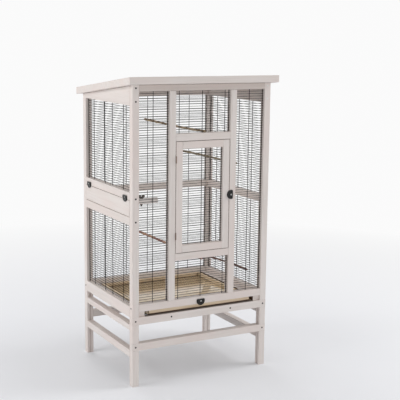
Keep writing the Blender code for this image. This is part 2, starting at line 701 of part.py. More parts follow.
def on_wire(wall, across, height):
    """A perch's end: just past the level wire of a wall that is nearest to a height."""
    openings = [(HEADER_TOP, TOP_RAIL_BOTTOM), (FRONT_FLOOR_TOP, SILL_BOTTOM)]
    if abs(across) > OPENING_WIDTH / 2:
        openings = [(FRONT_FLOOR_TOP, TOP_RAIL_BOTTOM)]
    if wall == "back":
        openings = [(MID_RAIL_TOP, BACK_TOP_RAIL_BOTTOM), (FLOOR_TOP, MID_RAIL_BOTTOM)]
    rows = [bottom + row for bottom, top in openings for row in row_heights(top - bottom)]
    reach = GROOVE_CENTRE + ROW_PLANE - ROW_WIRE / 2 - PERCH_PAST_WIRE
    nearest = min(rows, key=lambda row: abs(row - height))
    return Vector((across, wall_point(wall, 0, reach, 0).y, nearest))


def build_perch(name, radius, taper, bend, start, end):
    """A branch from the back mesh to the front mesh, slit at both ends to sit on a wire."""
    line = end - start
    across = line.cross(Vector((0, 0, 1))).normalized()
    upward = across.cross(line).normalized()
    shape = bmesh.new()
    rings = []
    for ring in range(PERCH_RINGS + 1):
        part = ring / PERCH_RINGS
        swell = radius * (1 - taper * part)
        swell += PERCH_KNOT * math.sin(PERCH_KNOT_TURNS * math.tau * part)
        if ring in (0, PERCH_RINGS):
            swell = PERCH_END_RADIUS
        bow = bend[0] * math.sin(math.pi * part)
        lift = bend[1] * math.sin(math.pi * part) + bend[2] * math.sin(math.tau * part)
        centre = line * part + across * bow + upward * lift
        corners = []
        for first, second in circle(swell, PERCH_SIDES):
            corners.append(shape.verts.new(centre + across * first + upward * second))
        rings.append(corners)
    for first, second in zip(rings, rings[1:]):
        for index in range(PERCH_SIDES):
            after = (index + 1) % PERCH_SIDES
            shape.faces.new((first[index], first[after], second[after], second[index]))
    shape.faces.new(rings[0])
    shape.faces.new(rings[-1])
    perch = add(name, shape, "branch", start)
    for place, wall, sign in ((start, "back", -1), (end, "front", 1)):
        slit_perch(perch, place, wall, sign, radius)


def slit_perch(perch, place, wall, sign, radius):
    """Cut the slit at one end of a perch that fits over a level wire."""
    wire = wall_point(wall, 0, GROOVE_CENTRE + ROW_PLANE + ROW_WIRE / 2 + FIT, 0).y
    outside = place.y - sign * RUN_OUT
    low_y, high_y = sorted((wire, outside))
    half = ROW_WIRE / 2 + FIT
    reach = radius + RUN_OUT
    low = (place.x - reach, low_y, place.z - half)
    cut = box(low, (place.x + reach, high_y, place.z + half))
    combine(perch, add("slit", cut, "branch", (0, 0, 0)), "DIFFERENCE")


def build_perches():
    """Four branches between the front and the back mesh."""
    for name, (radius, taper, bend, back, front) in PERCHES.items():
        build_perch(name, radius, taper, bend, on_wire("back", *back), on_wire("front", *front))


def main():
    """Build the whole aviary."""
    clear_scene()
    build_posts()
    build_front()
    build_sides()
    build_back()
    build_roof()
    build_meshes()
    build_door()
    build_buttons()
    build_runners()
    build_tray()
    build_hatch()
    build_feeder_bar()
    build_perches()


main()
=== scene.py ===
"""Finish, wire, branches, fastenings and stage of the wooden aviary.

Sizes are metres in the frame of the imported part: +Z up, the wall with the door faces -Y, and the
origin is on the floor under the middle of the roof. Timber keeps its own solids and gets its
finish here. Wire, branches and turn buttons are made as surfaces over the solids that they replace.
"""

import json
import math

import bpy
import numpy as np
from bpy.props import FloatProperty, FloatVectorProperty, IntProperty, PointerProperty
from mathutils import Matrix, Vector

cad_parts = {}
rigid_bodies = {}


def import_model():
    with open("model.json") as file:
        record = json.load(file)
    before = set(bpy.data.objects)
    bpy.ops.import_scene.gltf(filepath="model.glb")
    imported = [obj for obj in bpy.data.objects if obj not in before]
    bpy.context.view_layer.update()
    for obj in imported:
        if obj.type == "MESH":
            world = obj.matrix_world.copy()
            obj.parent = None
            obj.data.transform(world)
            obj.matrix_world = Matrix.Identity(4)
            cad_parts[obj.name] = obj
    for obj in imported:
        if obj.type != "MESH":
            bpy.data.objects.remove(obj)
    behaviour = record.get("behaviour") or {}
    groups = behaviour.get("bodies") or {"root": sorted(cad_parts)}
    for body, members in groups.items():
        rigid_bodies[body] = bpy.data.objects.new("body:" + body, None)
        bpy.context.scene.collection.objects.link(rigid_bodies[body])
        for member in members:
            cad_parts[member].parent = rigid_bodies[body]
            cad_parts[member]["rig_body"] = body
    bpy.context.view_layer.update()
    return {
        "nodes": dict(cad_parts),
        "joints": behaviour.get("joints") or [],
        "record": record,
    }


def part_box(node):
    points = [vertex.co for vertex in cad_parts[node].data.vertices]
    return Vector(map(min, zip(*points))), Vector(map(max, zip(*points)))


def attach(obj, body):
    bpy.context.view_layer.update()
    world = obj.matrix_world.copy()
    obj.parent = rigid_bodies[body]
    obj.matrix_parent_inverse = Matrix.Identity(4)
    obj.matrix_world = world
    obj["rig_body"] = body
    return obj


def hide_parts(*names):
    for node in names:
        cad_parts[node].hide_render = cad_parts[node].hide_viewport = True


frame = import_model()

bl_info = {
    "name": "Wooden aviary finish",
    "version": (1, 0, 0),
    "blender": (4, 5, 0),
    "location": "3D View > Sidebar > Aviary",
    "description": "Finishes the timber, wire, branches and fastenings of a wooden aviary",
    "category": "Object",
}

NODES = frame["nodes"]
SLOTS = {entry["node"]: entry["material_slot"] for entry in frame["record"]["subparts"]}
JOINTS = {joint["child"]: joint for joint in frame["joints"]}

X = np.array((1.0, 0.0, 0.0))
Y = np.array((0.0, 1.0, 0.0))
Z = np.array((0.0, 0.0, 1.0))

# Cosine between the rounded and the flat normal where rubbing starts, and where it is full.
RUBBED = (0.985, 0.80)
# How far a point feels the walls round it, how open it lies where thinned paint and painted shade begin
# and are full, and where the deeper painted shade of a narrow gap begins and is full.
HOLLOW_REACH = 0.007
THIN_PAINT_AND_SHADE = (0.38, 0.14)
DEEP_SHADE = (0.10, 0.02)
# Strength of the white that camera and gloss see, and how far away the floor turns to it.
WHITE = 0.96
FLOOR_FADE = (1.0, 3.8)
# Lamps: name, place, width of the square, and share of the lamps' power. They face the aim.
LAMPS = (
    ("left", (-3.8, 0.2, 2.0), 2.4, 0.78),
    ("front", (-0.6, -4.6, 1.4), 2.6, 0.44),
    ("right", (3.4, -1.0, 3.2), 2.4, 1.07),
    ("back", (0.0, 3.6, 3.4), 2.6, 0.68),
)
LAMP_AIM = Vector((0, 0, 0.8))


def shown(red, green, blue):
    """A colour as a screen shows it, 0 to 255, turned into the linear colour that Blender uses."""
    parts = np.array((red, green, blue)) / 255
    low = parts / 12.92
    high = ((parts + 0.055) / 1.055) ** 2.4
    return tuple(np.where(parts <= 0.04045, low, high))


def colour(name, description, default):
    """A colour property."""
    return FloatVectorProperty(
        name=name, description=description, subtype="COLOR", size=3, min=0, max=1, default=default
    )


def length(name, description, default):
    """A length property."""
    return FloatProperty(name=name, description=description, unit="LENGTH", default=default)


class TimberSettings(bpy.types.PropertyGroup):
    """Whitewash and bare wood."""

    whitewash: colour("Whitewash", "Paint on the timber", shown(225, 217, 212))
    whitewash_deep: colour("Deep whitewash", "Paint where the grain shows through", shown(211, 201, 194))
    blush: colour("Blush", "Slow warm patches in the paint", shown(223, 210, 204))
    # Painted shade in grooves, joints and gaps, partly thinned paint; also the painted shadow of the roof
    # on the front top rail.
    groove: colour("Groove", "Thin paint in a groove or a joint", shown(150, 126, 108))
    # Painted shade where two timbers almost meet.
    shut_joint_shade: colour("Shut joint", "Dirt where two timbers almost meet", shown(84, 66, 52))
    worn: colour("Worn arris", "Wood that shows at a rubbed edge", shown(200, 184, 166))
    bare: colour("Bare wood", "Untreated wood of the drawer's strips", shown(224, 206, 180))
    bare_deep: colour("Bare grain", "Late wood in the strips' grain", shown(196, 170, 134))
    end_grain: colour("End grain", "Stained ends of the strips", shown(112, 98, 64))
    board: colour("Board", "Brown hardboard under the strips", shown(210, 188, 154))
    board_fleck: colour("Board flecks", "Darker fibres in the hardboard", shown(182, 157, 120))
    # Painted shade in the drawer's slot, on the runners inside and on the drawer rail's top; also the
    # board's cut edge, partly dark brown hardboard and partly painted shade.
    board_edge_and_slot_shade: colour("Board edge", "Cut edge of the board, and runners inside", shown(74, 48, 26))
    grain_width: length("Grain width", "Distance between streaks across the grain", 0.012)
    grain_length: length("Grain length", "Length of a streak along the grain", 0.30)
    arris: length("Arris", "Width of the rubbed edge", 0.0012)
    # Painted shadow of the roof over the front top rail, as a share of the colour of the shade in grooves.
    roof_shadow_share: FloatProperty(name="Thin paint", description="Wood in the front top rail", default=0.22)


class WireSettings(bpy.types.PropertyGroup):
    """Welded mesh."""

    steel: colour("Coated wire", "Dark coat on the wire", shown(24, 21, 20))
    row_radius: length("Level wire radius", "Radius of the level wires", 0.0011)
    column_radius: length("Upright wire radius", "Radius of the uprights", 0.0016)
    weld_radius: length("Weld radius", "Half width of the weld at a crossing", 0.0020)
    sides: IntProperty(name="Sides", description="Flat sides of a wire", default=8, min=4)


class TraySettings(bpy.types.PropertyGroup):
    """Sizes of the drawer's strips and board."""

    board: length("Board thickness", "Thickness of the board under the strips", 0.004)
    side: length("Side strip", "Width of the strip at each side", 0.012)
    end: length("End strip", "Width of the strip at the front and at the back", 0.009)
    corner: length("Corner", "Radius of the drawer's lower side edges", 0.012)
    joint: length("Joint", "Gap between two strips", 0.0002)
    recess: length("Recess", "From the drawer's front to the ends of its side strips", 0.030)
    channel: length("Channel", "From the drawer's side to the runner's upright", 0.0125)
    pad: length("Pad", "Length of the pads behind the drawer rail, in front of the lips", 0.0160)
    slack: length("Slack", "Gap between a pad and what lies round it", 0.0005)
    ease: length("Easing", "Radius of the strips' arrises", 0.0012)


class BranchSettings(bpy.types.PropertyGroup):
    """Perches: two tones of bark for each."""

    top_light: colour("Top light", "Light bark of the top perch", shown(214, 192, 160))
    top_dark: colour("Top dark", "Dark bark of the top perch", shown(132, 116, 98))
    middle_light: colour("Middle light", "Light bark of the middle perch", shown(166, 152, 126))
    middle_dark: colour("Middle dark", "Dark bark of the middle perch", shown(112, 100, 84))
    left_light: colour("Left light", "Light bark of the left perch", shown(216, 176, 148))
    left_dark: colour("Left dark", "Dark bark of the left perch", shown(158, 122, 120))
    right_light: colour("Right light", "Light bark of the right perch", shown(158, 128, 116))
    right_dark: colour("Right dark", "Dark bark of the right perch", shown(106, 82, 78))
    crack: FloatProperty(name="Cracks", description="Share of the tone left in a crack", default=0.5)
    lump: FloatProperty(name="Lumps", description="Height of lumps over the radius", default=0.10)


class HardwareSettings(bpy.types.PropertyGroup):
    """Screws, turn buttons, hinges and the feeder bolt."""

    black: colour("Button plastic", "Black moulding", shown(16, 16, 16))
    screw: colour("Screw", "Black screw", shown(26, 24, 24))
    plug: colour("Filled screw", "Pale filler over a sunk screw", shown(240, 238, 234))
    bright: colour("Bright screw", "Plated screw in a turn button", shown(190, 190, 188))
    hinge: colour("Hinge", "Plated steel of a hinge", shown(150, 132, 120))
    bolt: colour("Wing screw", "Dark plated steel of the wing screw", shown(112, 106, 100))
    head_radius: length("Screw head radius", "Radius of a screw's head", 0.0044)
    head_rise: length("Screw head rise", "How far a head stands out of the wood", 0.0006)
    board_screw_low: length("Lower board screw", "Height over the foot of a side's top board", 0.020)
    board_screw_high: length("Upper board screw", "Depth under the top of a side's top board", 0.010)
    hatch_screw: length("Hatch screw", "Height over the lower edge of the rail above the hatch", 0.010)
    bolt_along: length("Bolt from post", "From the post to the bolt through the feeder bar", 0.0255)
    bolt_radius: length("Bolt radius", "Radius of the bolt through the feeder bar", 0.0037)
    bolt_tip: length("Bolt tip", "How far the bolt's tip stands out below the bar", 0.011)


class StageSettings(bpy.types.PropertyGroup):
    """Floor, lamps and camera."""

    floor: colour("Floor", "Pale floor", shown(226, 227, 231))
    floor_radius: length("Floor radius", "Radius of the floor", 14.0)
    floor_lift: FloatProperty(name="Floor lift", description="Share of white in the floor", default=0.17)
    lamp: FloatProperty(
        name="Lamp", description="Power that the lamps have shares of", subtype="POWER", default=101.0
    )
    fill: FloatProperty(name="Fill", description="Strength of the light from all round", default=0.33)
    focal: FloatProperty(name="Focal length", description="Lens in millimetres", default=86.43)
    azimuth: FloatProperty(
        name="Azimuth", description="Turn of the view from +Y to +X, in degrees", default=28.838
    )
    tilt: FloatProperty(name="Tilt", description="Dip of the view, in degrees", default=10.043)
    roll: FloatProperty(name="Roll", description="Roll of the camera, in degrees", default=0.718)
    place: FloatVectorProperty(
        name="Camera", description="Place of the camera", default=(-2.2846, -4.4239, 1.7496)
    )


def settings(name):
    """One of the scene's groups of settings."""
    return getattr(bpy.context.scene, "aviary_" + name)


def node(tree, kind, inputs=None, **values):
    """Add a shader node, set its properties, and fill its inputs with values or other nodes' outputs."""
    made = tree.nodes.new("ShaderNode" + kind)
    for key, value in values.items():
        setattr(made, key, value)
    for key, value in (inputs or {}).items():
        if isinstance(value, bpy.types.NodeSocket):
            tree.links.new(value, made.inputs[key])
        else:
            made.inputs[key].default_value = value
    return made


def mix(tree, share, first, second):
    """Mix two colours, each an RGB value or an output."""
    made = node(tree, "Mix", data_type="RGBA")
    for index, value in ((0, share), (6, first), (7, second)):
        if isinstance(value, bpy.types.NodeSocket):
            tree.links.new(value, made.inputs[index])
        elif index == 0:
            made.inputs[index].default_value = value
        else:
            made.inputs[index].default_value = (*value, 1)
    return made.outputs[2]


def spread(tree, value, low, high, start=0.0, end=1.0):
    """Map a value from low..high to start..end, and hold it there."""
    made = node(tree, "MapRange", {"Value": value, "From Min": low, "From Max": high})
    made.inputs["To Min"].default_value = start
    made.inputs["To Max"].default_value = end
    return made.outputs["Result"]


def math_node(tree, operation, first, second=0.5):
    """One arithmetic step on two values."""
    return node(tree, "Math", {0: first, 1: second}, operation=operation).outputs["Value"]


def streaks(tree, axis, width, long, shift, detail=5.0, distortion=0.4):
    """Noise drawn out along one axis of the frame: long along it and narrow across it. Most of it
    lies between 0.3 and 0.7, so the tones that follow it are spread over a part of that."""
    scale = [1 / width] * 3
    scale[axis] = 1 / long
    place = node(tree, "TexCoord").outputs["Object"]
    turned_place = node(tree, "Mapping", {"Vector": place, "Location": shift, "Scale": scale})
    inputs = {"Vector": turned_place.outputs["Vector"], "Scale": 1.0, "Detail": detail}
    noise = node(tree, "TexNoise", {**inputs, "Roughness": 0.6, "Distortion": distortion})
    return noise.outputs["Fac"]


def principled(name):
    """An empty Principled material, its tree and its shader."""
    surface = bpy.data.materials.new(name)
    surface.use_nodes = True
    return surface, surface.node_tree, surface.node_tree.nodes["Principled BSDF"]


def edges_and_hollows(tree, arris):
    """The rounded normal, how much a point lies on a rubbed edge, and how open it lies."""
    soft = node(tree, "Bevel", {"Radius": arris}, samples=4).outputs["Normal"]
    true = node(tree, "NewGeometry").outputs["True Normal"]
    facing = node(tree, "VectorMath", {0: soft, 1: true}, operation="DOT_PRODUCT").outputs["Value"]
    edge = spread(tree, facing, *RUBBED)
    open_share = node(tree, "AmbientOcclusion", {"Distance": HOLLOW_REACH}, samples=8)
    return soft, edge, open_share.outputs["AO"]


def painted_hollow_shade(tree, kit, paint, openness):
    """Thinned paint and painted shade where a point is partly closed in, and deeper painted shade where it
    almost is.
    """
    paint = mix(tree, spread(tree, openness, *THIN_PAINT_AND_SHADE), paint, kit.groove)
    return mix(tree, spread(tree, openness, *DEEP_SHADE), paint, kit.shut_joint_shade)


def face_direction(tree, axis):
    """How far a face points along an axis, from -1 to 1."""
    true = node(tree, "NewGeometry").outputs["True Normal"]
    return node(tree, "SeparateXYZ", {0: true}).outputs[axis]


def grain_bump(tree, shader, broad, fine, soft, depth):
    """Raise the grain: broad streaks with fine ones on them."""
    height = math_node(tree, "ADD", broad, math_node(tree, "MULTIPLY", fine, 0.6))
    bump = node(tree, "Bump", {"Height": height, "Distance": depth, "Strength": 0.55, "Normal": soft})
    tree.links.new(bump.outputs["Normal"], shader.inputs["Normal"])


def whitewash(name, axis, shift, channel=0.0, slide=False, roof_shadow=0.0):
    """Whitewashed softwood: streaks of grain, slow warm patches, rubbed arrises, and thinned paint and
    painted shade in grooves and joints.
    Nearer to the middle plane than the channel's distance it takes the painted shade of the drawer's slot,
    on a slide only on top.
    Roof shadow is the share of painted shadow, in the colour of the shade in grooves, laid over the whole
    piece."""
    kit = settings("timber")
    surface, tree, shader = principled(name)
    soft, edge, openness = edges_and_hollows(tree, kit.arris)
    broad = streaks(tree, axis, kit.grain_width, kit.grain_length, shift)
    fine_width, fine_length = kit.grain_width / 7, kit.grain_length / 5
    fine = streaks(tree, axis, fine_width, fine_length, shift, detail=2.0, distortion=0.1)
    patch = streaks(tree, axis, 0.10, 0.35, shift, detail=1.0, distortion=0.0)
    paint = mix(tree, spread(tree, broad, 0.44, 0.76, 0.0, 0.8), kit.whitewash, kit.whitewash_deep)
    paint = mix(tree, spread(tree, patch, 0.45, 0.65, 0.0, 0.7), paint, kit.blush)
    paint = mix(tree, spread(tree, fine, 0.58, 0.78, 0.0, 0.35), paint, kit.whitewash_deep)
    rubbed = math_node(tree, "MULTIPLY", edge, spread(tree, broad, 0.44, 0.66, 0.0, 0.5))
    paint = mix(tree, rubbed, paint, kit.worn)
    # Painted shadow of the roof over the whole piece.
    if roof_shadow:
        paint = mix(tree, roof_shadow, paint, kit.groove)
    # Painted shade in grooves, joints and gaps, set by how open the point lies.
    paint = painted_hollow_shade(tree, kit, paint, openness)
    # Painted shade in the drawer's slot: the runners inside, and the drawer rail's top where the drawer
    # slides.
    if channel:
        place = node(tree, "TexCoord").outputs["Object"]
        across = node(tree, "SeparateXYZ", {0: place}).outputs["X"]
        across = math_node(tree, "ABSOLUTE", across)
        dark = spread(tree, across, channel, channel - 0.001)
        if slide:
            on_top = spread(tree, face_direction(tree, "Z"), 0.7, 0.9, 0, 0.58)
            dark = math_node(tree, "MULTIPLY", dark, on_top)
        paint = mix(tree, dark, paint, kit.board_edge_and_slot_shade)
    tree.links.new(paint, shader.inputs["Base Color"])
    tree.links.new(spread(tree, fine, 0.3, 0.7, 0.50, 0.66), shader.inputs["Roughness"])
    grain_bump(tree, shader, broad, fine, soft, 0.0004)
    return surface


def bare_wood(name, axis, shift):
    """Untreated softwood with darker late wood in its grain."""
    kit = settings("timber")
    surface, tree, shader = principled(name)
    soft, _, openness = edges_and_hollows(tree, kit.arris)
    broad_width, fine_width = kit.grain_width / 2, kit.grain_width / 9
    broad = streaks(tree, axis, broad_width, kit.grain_length, shift, detail=6.0, distortion=0.9)
    fine = streaks(tree, axis, fine_width, kit.grain_length / 4, shift, detail=2.0, distortion=0.1)
    wood = mix(tree, spread(tree, broad, 0.44, 0.70), kit.bare, kit.bare_deep)
    wood = mix(tree, spread(tree, fine, 0.55, 0.75, 0.0, 0.5), wood, kit.bare_deep)
    along = math_node(tree, "ABSOLUTE", face_direction(tree, "XYZ"[axis]))
    wood = mix(tree, spread(tree, along, 0.8, 0.95), wood, kit.end_grain)
    # Painted shade in the strips' joints and gaps.
    tree.links.new(painted_hollow_shade(tree, kit, wood, openness), shader.inputs["Base Color"])
    shader.inputs["Roughness"].default_value = 0.60
    grain_bump(tree, shader, broad, fine, soft, 0.0005)
    return surface


def hardboard(name):
    """Hardboard with a hard gloss: cloudy tone and short fibres under a face that mirrors. Faces
    that don't point up or down are its dull cut edges, dark brown partly as cut hardboard and partly as
    painted shade under the drawer's front."""
    kit = settings("timber")
    surface, tree, shader = principled(name)
    place = node(tree, "TexCoord").outputs["Object"]
    clouds = node(tree, "TexNoise", {"Vector": place, "Scale": 22.0, "Detail": 3.0}).outputs["Fac"]
    fibre_inputs = {"Vector": place, "Scale": 650.0, "Detail": 4.0, "Distortion": 2.0}
    fibres = node(tree, "TexNoise", fibre_inputs).outputs["Fac"]
    board = mix(tree, spread(tree, clouds, 0.35, 0.7, 0.0, 0.35), kit.board, kit.board_fleck)
    board = mix(tree, spread(tree, fibres, 0.50, 0.70, 0.0, 0.8), board, kit.board_fleck)
    # Cut edges are dark brown as cut hardboard, made darker as painted shade under the drawer's front.
    cut = spread(tree, face_direction(tree, "Z"), 0.9, 0.7)
    board = mix(tree, cut, board, kit.board_edge_and_slot_shade)
    tree.links.new(board, shader.inputs["Base Color"])
    gloss = spread(tree, clouds, 0.3, 0.7, 0.10, 0.20)
    tree.links.new(math_node(tree, "MAXIMUM", gloss, cut), shader.inputs["Roughness"])
    bump = node(tree, "Bump", {"Height": fibres, "Distance": 0.00002, "Strength": 0.3})
    tree.links.new(bump.outputs["Normal"], shader.inputs["Normal"])
    shader.inputs["IOR"].default_value = 1.6
    shader.inputs["Coat Weight"].default_value = 0.6
    shader.inputs["Coat Roughness"].default_value = 0.12
    return surface


def speckled(name, base, roughness, metallic=0.0, grit=0.0012, bump_height=0.0001, gloss=0.5):
    """A hard finish with fine grit, as on coated wire, plastic or plating. Gloss is its specular."""
    surface, tree, shader = principled(name)
    place = node(tree, "TexCoord").outputs["Object"]
    noise = node(tree, "TexNoise", {"Vector": place, "Scale": 1 / grit, "Detail": 3.0}).outputs["Fac"]
    darker = tuple(0.72 * part for part in base)
    tree.links.new(mix(tree, spread(tree, noise, 0.35, 0.65), base, darker), shader.inputs["Base Color"])
    rough = spread(tree, noise, 0.3, 0.7, roughness * 0.85, roughness * 1.2)
    tree.links.new(rough, shader.inputs["Roughness"])
    shader.inputs["Metallic"].default_value = metallic
    shader.inputs["Specular IOR Level"].default_value = gloss
    bump = node(tree, "Bump", {"Height": noise, "Distance": bump_height, "Strength": 0.4})
    tree.links.new(bump.outputs["Normal"], shader.inputs["Normal"])
    return surface


def bark_material(name, axis, shift, light, dark):
    """Bark: patches of a light and a dark tone, with cracks drawn out along the branch."""
    kit = settings("branch")
    surface, tree, shader = principled(name)
    cracks = streaks(tree, axis, 0.0016, 0.018, shift, detail=6.0, distortion=1.2)
    patches = streaks(tree, axis, 0.010, 0.060, shift, detail=2.0, distortion=0.3)
    share = spread(tree, patches, 0.42, 0.60)
    bark = mix(tree, share, light, dark)
    cracked = mix(tree, share, *(tuple(kit.crack * part for part in tone) for tone in (light, dark)))
    bark = mix(tree, spread(tree, cracks, 0.60, 0.40), bark, cracked)
    tree.links.new(bark, shader.inputs["Base Color"])
    shader.inputs["Roughness"].default_value = 0.75
    bump = node(tree, "Bump", {"Height": cracks, "Distance": 0.0008, "Strength": 0.7})
    tree.links.new(bump.outputs["Normal"], shader.inputs["Normal"])
    return surface


def grid_faces(rows, columns):
    """Quads of rows of points whose columns close round, outwards where they turn anticlockwise."""
    row = np.arange(rows - 1)[:, None] * columns
    first = np.arange(columns)[None, :]
    after = (first + 1) % columns
    quads = [row + first, row + after, row + columns + after, row + columns + first]
    return np.stack(quads, -1).reshape(-1, 4)


def closed_faces(rows, columns):
    """The quads of a closed tube of points, with a polygon at each end."""
    last = (rows - 1) * columns
    ends = [list(range(columns))[::-1], list(range(last, last + columns))]
    return grid_faces(rows, columns).tolist() + ends


def turned(centres, axes, profile, sides):
    """Turned solids. Each profile point (radius, height) is a ring: centre + axis * height
    + (side * cos + up * sin) * radius, with side, up and axis a right-handed set."""
    side, up, axis = (np.asarray(direction, float) for direction in axes)
    angle = np.arange(sides) * math.tau / sides
    ring = np.cos(angle)[:, None] * side + np.sin(angle)[:, None] * up
    radii, heights = np.array(profile, float).T
    shape = radii[:, None, None] * ring + heights[:, None, None] * axis
    points = np.asarray(centres, float).reshape(-1, 1, 1, 3) + shape
    return [(solid.reshape(-1, 3), closed_faces(len(profile), sides)) for solid in points]


def eased_bar(low, high, ease):
    """A bar with rounded arrises. Each corner of its section is a quarter circle of three points
    about a centre that lies the easing inside both faces, and its end rings have less radius."""
    low, high = np.array(low, float), np.array(high, float)
    middle, half = (low + high) / 2, (high - low) / 2
    long = int(np.argmax(half))
    across, up = (long + 1) % 3, (long + 2) % 3
    quarter = np.repeat(np.arange(4), 3) * math.tau / 4
    turn = quarter + np.tile((0, math.tau / 8, math.tau / 4), 4)
    corner = quarter + math.tau / 8
    radius = ease * np.array((0.3, 1.0, 1.0, 0.3))[:, None]
    points = np.empty((4, 12, 3))
    points[..., across] = np.sign(np.cos(corner)) * (half[across] - ease) + np.cos(turn) * radius
    points[..., up] = np.sign(np.sin(corner)) * (half[up] - ease) + np.sin(turn) * radius
    points[..., long] = np.array((-1, -1, 1, 1))[:, None] * half[long]
    points[1:3, :, long] *= 1 - ease / half[long]
    return [((middle + points).reshape(-1, 3), closed_faces(4, 12))]


def drawn_out(outline, low, high, ease):
    """A bar drawn out along Y from its outline of (x, z) points, clockwise seen from the front.
    Its first and last rings shrink towards the outline's middle by the easing."""
    outline = np.array(outline, float)
    middle = (outline.min(0) + outline.max(0)) / 2
    small = outline - ease * np.sign(outline - middle)
    rings = np.stack([small, outline, outline, small])
    depths = np.array((low, low + ease, high - ease, high))
    points = np.empty((4, len(outline), 3))
    points[..., (0, 2)] = rings
    points[..., 1] = depths[:, None]
    return [(points.reshape(-1, 3), closed_faces(4, len(outline)))]


def make_piece(name, parts, body, surface, replaces=(), sharp=40):
    """One object from surfaces, each a pair of points and faces, riding on a body. Edges that turn
    by more than the sharp angle, in degrees, stay crisp."""
    points, faces, start = [], [], 0
    for corners, polygons in parts:
        points.append(corners)
        faces += [[index + start for index in polygon] for polygon in polygons]
        start += len(corners)
    mesh = bpy.data.meshes.new(name)
    mesh.from_pydata(np.concatenate(points).tolist(), [], faces)
    mesh.shade_smooth()
    mesh.set_sharp_from_angle(angle=math.radians(sharp))
    mesh.materials.append(surface)
    piece = bpy.data.objects.new(name, mesh)
    bpy.context.scene.collection.objects.link(piece)
    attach(piece, body)
    if replaces:
        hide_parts(*replaces)


def corners_of(name):
    """The different corners of a node's solid."""
    mesh = NODES[name].data
    points = np.empty(len(mesh.vertices) * 3)
    mesh.vertices.foreach_get("co", points)
    return np.unique(points.reshape(-1, 3).round(6), axis=0)


def dress(name, surface):
    """Give a node's own solid its finish."""
    mesh = NODES[name].data
    mesh.materials.clear()
    mesh.materials.append(surface)


def longest_axis(name):
    """Index of the axis that a node is longest along."""
    low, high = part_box(name)
    size = high - low
    return max(range(3), key=lambda index: size[index])


def pair_centres(values):
    """Middles of successive pairs of sorted values, such as the two faces of each wire."""
    values = np.unique(np.round(values, 5))
    return (values[0::2] + values[1::2]) / 2


def read_mesh_panel(name):
    """Where a panel's wires are: its level axis, the rows' heights, the uprights' places along it,
    and the depth of each layer, read off the ends of the wires of its solid."""
    points = corners_of(name)
    low, high = points.min(0), points.max(0)
    level = 0 if high[0] - low[0] > high[1] - low[1] else 1
    through = 1 - level
    near = 0.0002
    ends = points[np.minimum(points[:, level] - low[level], high[level] - points[:, level]) < near]
    tops = points[high[2] - points[:, 2] < near]
    from_low = ends[ends[:, level] - low[level] < near]
    from_high = ends[high[level] - ends[:, level] < near]
    rows = max((from_low, from_high), key=len)
    return {
        "level": level,
        "rows": pair_centres(rows[:, 2]),
        "columns": pair_centres(tops[:, level]),
        "row_depth": (rows[:, through].min() + rows[:, through].max()) / 2,
        "column_depth": (tops[:, through].min() + tops[:, through].max()) / 2,
        "low": low,
        "high": high,
    }


def point_in_panel(panel, level, depth, height):
    """World points from places along a panel, through it and up."""
    points = np.empty((len(level), 3))
    points[:, panel["level"]] = level
    points[:, 1 - panel["level"]] = depth
    points[:, 2] = height
    return points


def mesh_wires(name):
    """Round wires of a welded panel, and a flattened weld at each crossing.

    A wire is a turned solid with two rings. A weld is one with its radius following a half
    circle, pressed flat through the panel."""
    kit = settings("wire")
    panel = read_mesh_panel(name)
    level = X if panel["level"] == 0 else Y
    through = np.cross(Z, level)
    low, high = panel["low"], panel["high"]
    start, end = low[panel["level"]], high[panel["level"]]
    rows, columns = panel["rows"], panel["columns"]
    touch = panel["row_depth"] - panel["column_depth"]
    touch -= math.copysign(kit.row_radius + kit.column_radius - kit.weld_radius / 8, touch)
    row_depth = panel["row_depth"] - touch / 2
    column_depth = panel["column_depth"] + touch / 2
    row_starts = point_in_panel(panel, np.full(len(rows), start), row_depth, rows)
    profile = [(kit.row_radius, 0), (kit.row_radius, end - start)]
    parts = turned(row_starts, (through, Z, level), profile, kit.sides)
    column_starts = point_in_panel(panel, columns, column_depth, np.full(len(columns), low[2]))
    rise = [(kit.column_radius, 0), (kit.column_radius, high[2] - low[2])]
    parts += turned(column_starts, (X, Y, Z), rise, kit.sides)
    across, up = (grid.ravel() for grid in np.meshgrid(columns, rows))
    welds = point_in_panel(panel, across, (row_depth + column_depth) / 2, up)
    angle = np.radians((-80, -35, 35, 80))
    bead = np.stack([kit.weld_radius * np.cos(angle), kit.weld_radius * np.sin(angle)], -1)
    parts += turned(welds, (X, Y, Z), bead, 6)
    return parts


def measured_branch(name, rings=12):
    """Centre line and radius of a branch as polynomials of the share of its length, fitted to
    the rings of its solid. Returns its two coefficient tables."""
    points = corners_of(name)
    near = 0.001
    first = points[points[:, 1] > points[:, 1].max() - near].mean(0)
    last = points[points[:, 1] < points[:, 1].min() + near].mean(0)
    line = last - first
    share = (points - first) @ line / (line @ line) * rings
    ring = np.rint(share)
    on_ring = np.abs(share - ring) < 0.08
    centres, radii = [], []
    for index in range(rings + 1):
        members = points[on_ring & (ring == index)]
        centres.append(members.mean(0))
        radii.append(np.linalg.norm(members - members.mean(0), axis=1).mean())
    part = np.arange(rings + 1) / rings
    inner = slice(1, rings)
    return np.polyfit(part, np.array(centres), 4), np.polyfit(part[inner], radii[inner], 2)


